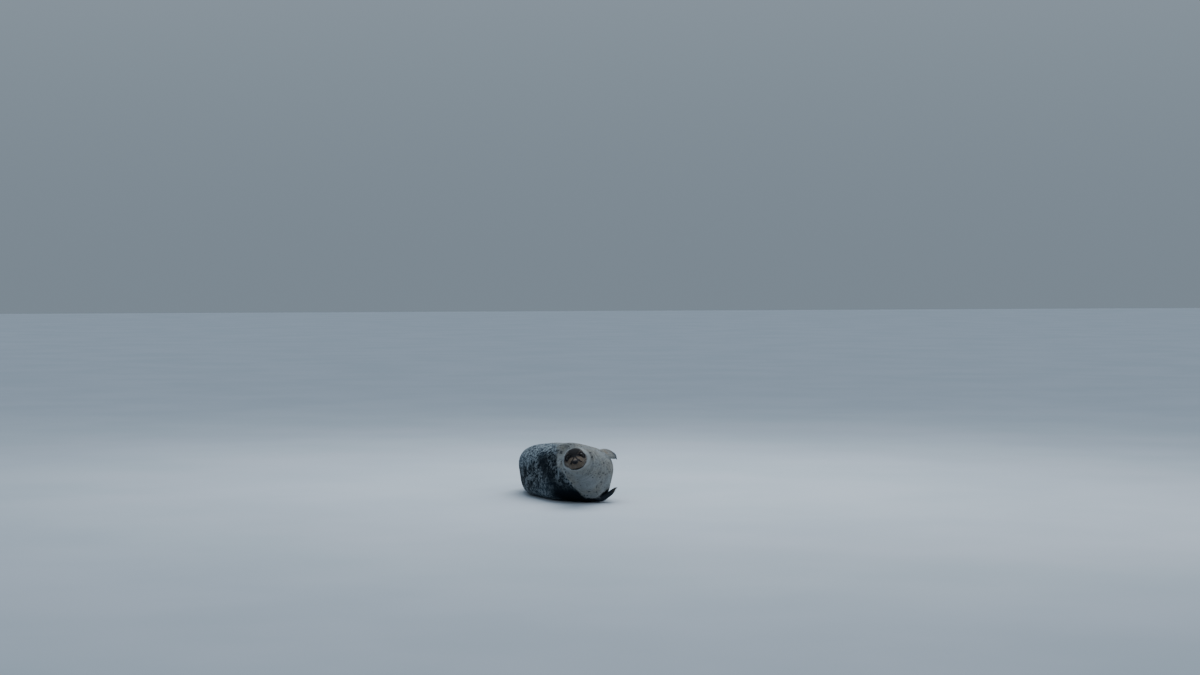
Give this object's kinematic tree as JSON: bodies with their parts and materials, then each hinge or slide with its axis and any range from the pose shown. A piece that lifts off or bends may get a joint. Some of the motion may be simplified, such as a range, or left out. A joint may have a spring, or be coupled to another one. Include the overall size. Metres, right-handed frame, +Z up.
{
  "type": "spotted seal",
  "caption": "Life-size still model of a spotted seal lying on its right side with its head up, in a short dark coat netted with pale rings.",
  "frame": {"origin": "centre of the underside of the bounding box, on the floor", "axes": "+Y from head to hind flippers along the length, -X towards the animal's back, +X towards its belly and fore flippers, +Z up; it lies on its right side"},
  "size_m": [0.5026, 1.6284, 0.3565],
  "materials": {
    "coat_body": "short dense hair, dark on the back with pale rings, pale silver on the belly",
    "coat_face": "very short hair, dark forehead and tan muzzle",
    "coat_flipper": "short flat hair over thin digits and web",
    "flipper_skin": "thinly haired dark skin with fine creases",
    "nose_skin": "bare wet skin with a fine grain",
    "eye": "wet and glossy, nearly black",
    "claw_horn": "worn satin horn"
  },
  "bodies": {
    "root": {"head": "coat_face", "lower_jaw": "coat_face", "nose": "nose_skin", "eye_left": "eye", "eye_right": "eye", "neck": "coat_body", "chest": "coat_body", "belly": "coat_body", "rump": "coat_body", "tail": "coat_body", "fore_flipper_left": "coat_flipper", "fore_flipper_right": "coat_flipper", "hind_flipper_left": "flipper_skin", "hind_flipper_right": "flipper_skin", "fore_flipper_left_claw_1": "claw_horn", "fore_flipper_left_claw_2": "claw_horn", "fore_flipper_left_claw_3": "claw_horn", "fore_flipper_left_claw_4": "claw_horn", "fore_flipper_left_claw_5": "claw_horn", "fore_flipper_right_claw_1": "claw_horn", "fore_flipper_right_claw_2": "claw_horn", "fore_flipper_right_claw_3": "claw_horn", "fore_flipper_right_claw_4": "claw_horn", "fore_flipper_right_claw_5": "claw_horn", "hind_flipper_left_claw_1": "claw_horn", "hind_flipper_left_claw_2": "claw_horn", "hind_flipper_left_claw_3": "claw_horn", "hind_flipper_left_claw_4": "claw_horn", "hind_flipper_left_claw_5": "claw_horn", "hind_flipper_right_claw_1": "claw_horn", "hind_flipper_right_claw_2": "claw_horn", "hind_flipper_right_claw_3": "claw_horn", "hind_flipper_right_claw_4": "claw_horn", "hind_flipper_right_claw_5": "claw_horn"}
  },
  "joints": []
}
